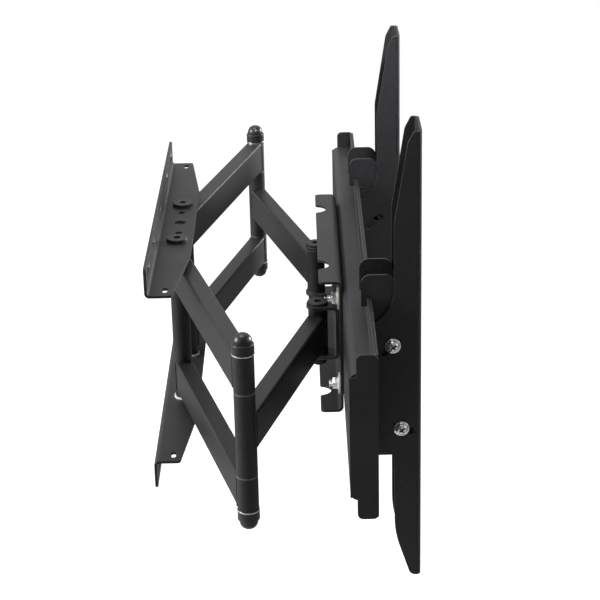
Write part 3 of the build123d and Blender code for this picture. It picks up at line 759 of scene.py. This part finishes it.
tilt_head_radius = 0.0085
tilt_head_height = 0.0055
tilt_shank_radius = 0.0030
tilt_tip_chamfer = 0.0008
tilt_nut_flats = 0.010
tilt_nut_height = 0.005
tilt_nut_bore = 0.00302
pan_head_profile = [
    (0.0083, 0.0),
    (0.0085, 0.0003),
    (0.0085, 0.0009),
    (0.0081, 0.0013),
    (0.0066, 0.0017),
    (0.0063, 0.0022),
    (0.0060, 0.0034),
    (0.0052, 0.0045),
    (0.0038, 0.0052),
    (0.0018, 0.0055),
]
cross_length = 0.0092
cross_width = 0.0022
cross_depth = 0.0030
cross_turn = 0.65
for side, out in (("left", -1.0), ("right", 1.0)):
    dress(bracket_coat, f"{side}_screen_bracket")
    low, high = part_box(f"{side}_tilt_screws")
    shank = high[0] - low[0] - tilt_head_height
    shank_profile = [
        (tilt_shank_radius - tilt_tip_chamfer, -shank),
        (tilt_shank_radius - 0.0001, -shank + tilt_tip_chamfer),
        (tilt_shank_radius, 0.0),
    ]
    screw = turned_piece(shank_profile + pan_head_profile, sides=56)
    sink_cross(screw, tilt_head_height, cross_length, cross_width, cross_depth, cross_turn)
    apply_modifier(
        screw, "BEVEL", width=0.00015, segments=2, limit_method="ANGLE", angle_limit=0.6
    )
    outer = low[0] if out < 0 else high[0]
    seat = outer - out * tilt_head_height
    to_side = Matrix.Rotation(out * math.pi / 2, 4, "Y")
    upper_spot = (high[1] - tilt_head_radius, high[2] - tilt_head_radius)
    lower_spot = (low[1] + tilt_head_radius, low[2] + tilt_head_radius)
    spots = (upper_spot, lower_spot)
    set_pieces(
        f"{side}_pan_screws",
        screw,
        [Matrix.Translation((seat, y, z)) @ to_side for y, z in spots],
        nickel,
        "chrome_screws",
        f"{side}_hook",
        f"{side}_tilt_screws",
    )
    low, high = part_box(f"{side}_tilt_nuts")
    inner = high[0] if out < 0 else low[0]
    set_pieces(
        f"{side}_tilt_lock_nuts",
        chamfered_nut(tilt_nut_flats, tilt_nut_height, tilt_nut_bore),
        [Matrix.Translation((inner, y, z)) @ to_side for y, z in spots],
        zinc,
        "zinc_steel",
        f"{side}_hook",
        f"{side}_tilt_nuts",
    )

# Studio: a pale floor well below the mount and a white surround. Soft boxes stand overhead,
# on the wall side and in the room, and two with narrow beams light the screen side and the
# tops of the brackets.
floor_height = -0.95
floor_glow = 0.84
bpy.ops.object.select_all(action="DESELECT")
bpy.ops.mesh.primitive_plane_add(size=40.0, location=(0.0, 0.0, floor_height))
floor = active_piece()
floor.name = "studio_floor"
bpy.ops.object.transform_apply(location=True, rotation=True, scale=True)
paper, tree, shader = new_finish("pale_floor")
fibre = grain_noise(tree, 3.0, 3.0, 0.5)
shade = blend_colours(tree, fibre, (0.50, 0.50, 0.50), (0.54, 0.54, 0.54))
tree.links.new(shade, shader.inputs["Base Color"])
shader.inputs["Roughness"].default_value = 0.9
rays = tree.nodes.new("ShaderNodeLightPath")
shader.inputs["Emission Color"].default_value = (1.0, 1.0, 1.0, 1.0)
seen_glow = combine(tree, "MULTIPLY", rays.outputs["Is Camera Ray"], floor_glow)
tree.links.new(seen_glow, shader.inputs["Emission Strength"])
floor.data.materials.append(paper)

# The surround is white to the camera. In reflections it is bright on the wall side and at the
# far end, and dim behind the camera.
ambient_light = (0.22, 0.22, 0.22)
dim_surround = (0.25, 0.25, 0.25)
bright_surround = (0.80, 0.80, 0.80)
world = bpy.data.worlds.new("white_studio")
bpy.context.scene.world = world
world.use_nodes = True
tree = world.node_tree
surround = tree.nodes["Background"]
rays = tree.nodes.new("ShaderNodeLightPath")
seen = combine(tree, "MAXIMUM", rays.outputs["Is Camera Ray"], rays.outputs["Is Transmission Ray"])
outward = tree.nodes.new("ShaderNodeTexCoord")
along = tree.nodes.new("ShaderNodeSeparateXYZ")
tree.links.new(outward.outputs["Generated"], along.inputs["Vector"])
wallward = combine(tree, "MULTIPLY", along.outputs["Y"], 0.9)
far_share = spread(tree, combine(tree, "ADD", along.outputs["X"], wallward), -0.75, 0.15, 0.0, 1.0)
mirrored = blend_colours(tree, far_share, dim_surround, bright_surround)
glow = blend_colours(tree, rays.outputs["Is Glossy Ray"], ambient_light, mirrored)
glow = blend_colours(tree, seen, glow, (1.0, 1.0, 1.0))
tree.links.new(glow, surround.inputs["Color"])
surround.inputs["Strength"].default_value = 1.0

# Each soft box has its place, aim, width, power and the angle of its beam.
open_beam = math.pi
soft_boxes = (
    ("overhead_box", (0.1, 0.2, 2.4), (0.0, -0.12, 0.0), 1.0, 20.0, open_beam),
    ("wall_side_box", (-0.4, 2.4, 0.9), (0.0, -0.12, 0.0), 1.6, 104.0, open_beam),
    ("room_side_box", (-0.6, -2.6, 0.9), (0.0, -0.12, 0.0), 1.6, 9.0, open_beam),
    ("front_box", (1.4, -2.6, 0.5), (0.0, -0.2, 0.05), 1.4, 12.0, 0.7),
    ("upper_near_box", (-1.3, -0.5, 1.5), (0.2, -0.27, 0.42), 0.3, 1.3, 0.42),
)
for name, place, aim, size, power, beam in soft_boxes:
    lamp = bpy.data.lights.new(name, "AREA")
    lamp.shape = "SQUARE"
    lamp.size = size
    lamp.energy = power
    lamp.spread = beam
    box = bpy.data.objects.new(name, lamp)
    bpy.context.scene.collection.objects.link(box)
    turn = (Vector(aim) - Vector(place)).to_track_quat("-Z", "Y").to_matrix().to_4x4()
    box.matrix_world = Matrix.Translation(place) @ turn

# Camera: a long lens out past the left end of the mount and above it, looking down along the
# wall, with the focal length given in pixels of a square frame.
yaw = -0.003280
pitch = 0.385684
roll = -0.023500
focal_pixels = 1796.33
frame_pixels = 600.0
camera_place = (-1.9733, -0.1688, 0.7991)
level = math.cos(pitch)
ahead = Vector((level * math.cos(yaw), -level * math.sin(yaw), -math.sin(pitch)))
right = Vector((-math.sin(yaw), -math.cos(yaw), 0.0))
above = right.cross(ahead)
rolled_right = right * math.cos(roll) + above * math.sin(roll)
rolled_above = above * math.cos(roll) - right * math.sin(roll)
turn = Matrix((rolled_right, rolled_above, -ahead)).transposed().to_4x4()
lens = bpy.data.cameras.new("photo_camera")
lens.sensor_width = 36.0
lens.lens = focal_pixels / frame_pixels * lens.sensor_width
lens.clip_end = 100.0
viewer = bpy.data.objects.new("photo_camera", lens)
bpy.context.scene.collection.objects.link(viewer)
viewer.matrix_world = Matrix.Translation(camera_place) @ turn
bpy.context.scene.camera = viewer
bpy.context.scene.view_settings.view_transform = "Standard"
